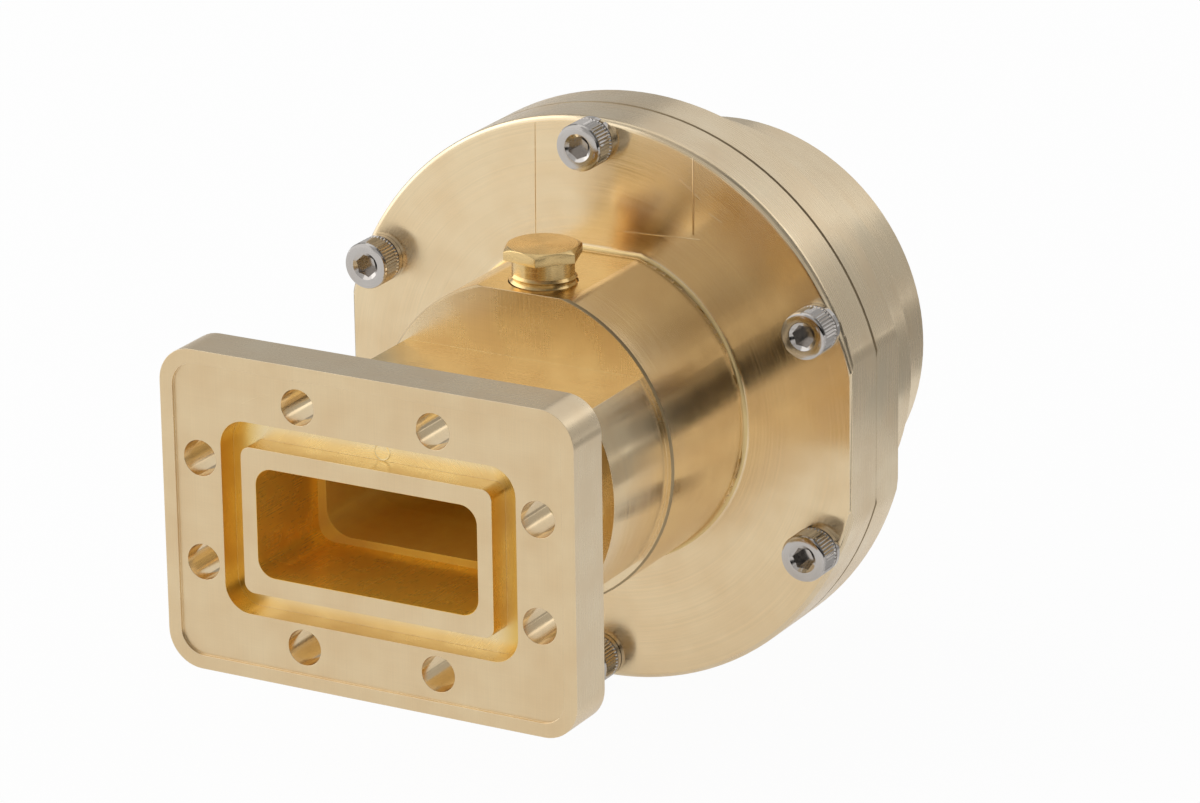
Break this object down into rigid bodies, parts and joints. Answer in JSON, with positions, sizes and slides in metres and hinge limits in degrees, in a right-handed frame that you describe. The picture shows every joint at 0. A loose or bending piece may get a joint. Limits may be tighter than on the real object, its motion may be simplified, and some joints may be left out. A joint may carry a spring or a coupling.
{
  "type": "elliptical waveguide connector",
  "caption": "Machined brass connector for elliptical waveguide cable: grooved rectangular flange, round barrel with a gas plug, and two discs screwed together around a cable clamp.",
  "frame": {"origin": "centre of the rectangular guide opening in the plane of the flange's mating face, which is also the centre of the flange's bolt holes", "axes": "+Y along the guide from the mating face to the cable end, +X along the opening's broad side, +Z along its narrow side with the gas plug on top"},
  "size_m": [0.0822, 0.1095, 0.086],
  "materials": {
    "brass": "machined, fine milling and turning lines, satin",
    "plug_brass": "machined, brighter",
    "stainless": "bright stainless steel",
    "rubber": "black rubber, matt"
  },
  "bodies": {
    "root": {"front_body": "brass", "rear_body": "brass", "gas_plug": "plug_brass", "clamp_upper": "brass", "clamp_lower": "brass", "body_seal": "rubber", "jacket_seal": "rubber", "cap_screws": "stainless", "spring_washers": "stainless"}
  },
  "joints": []
}
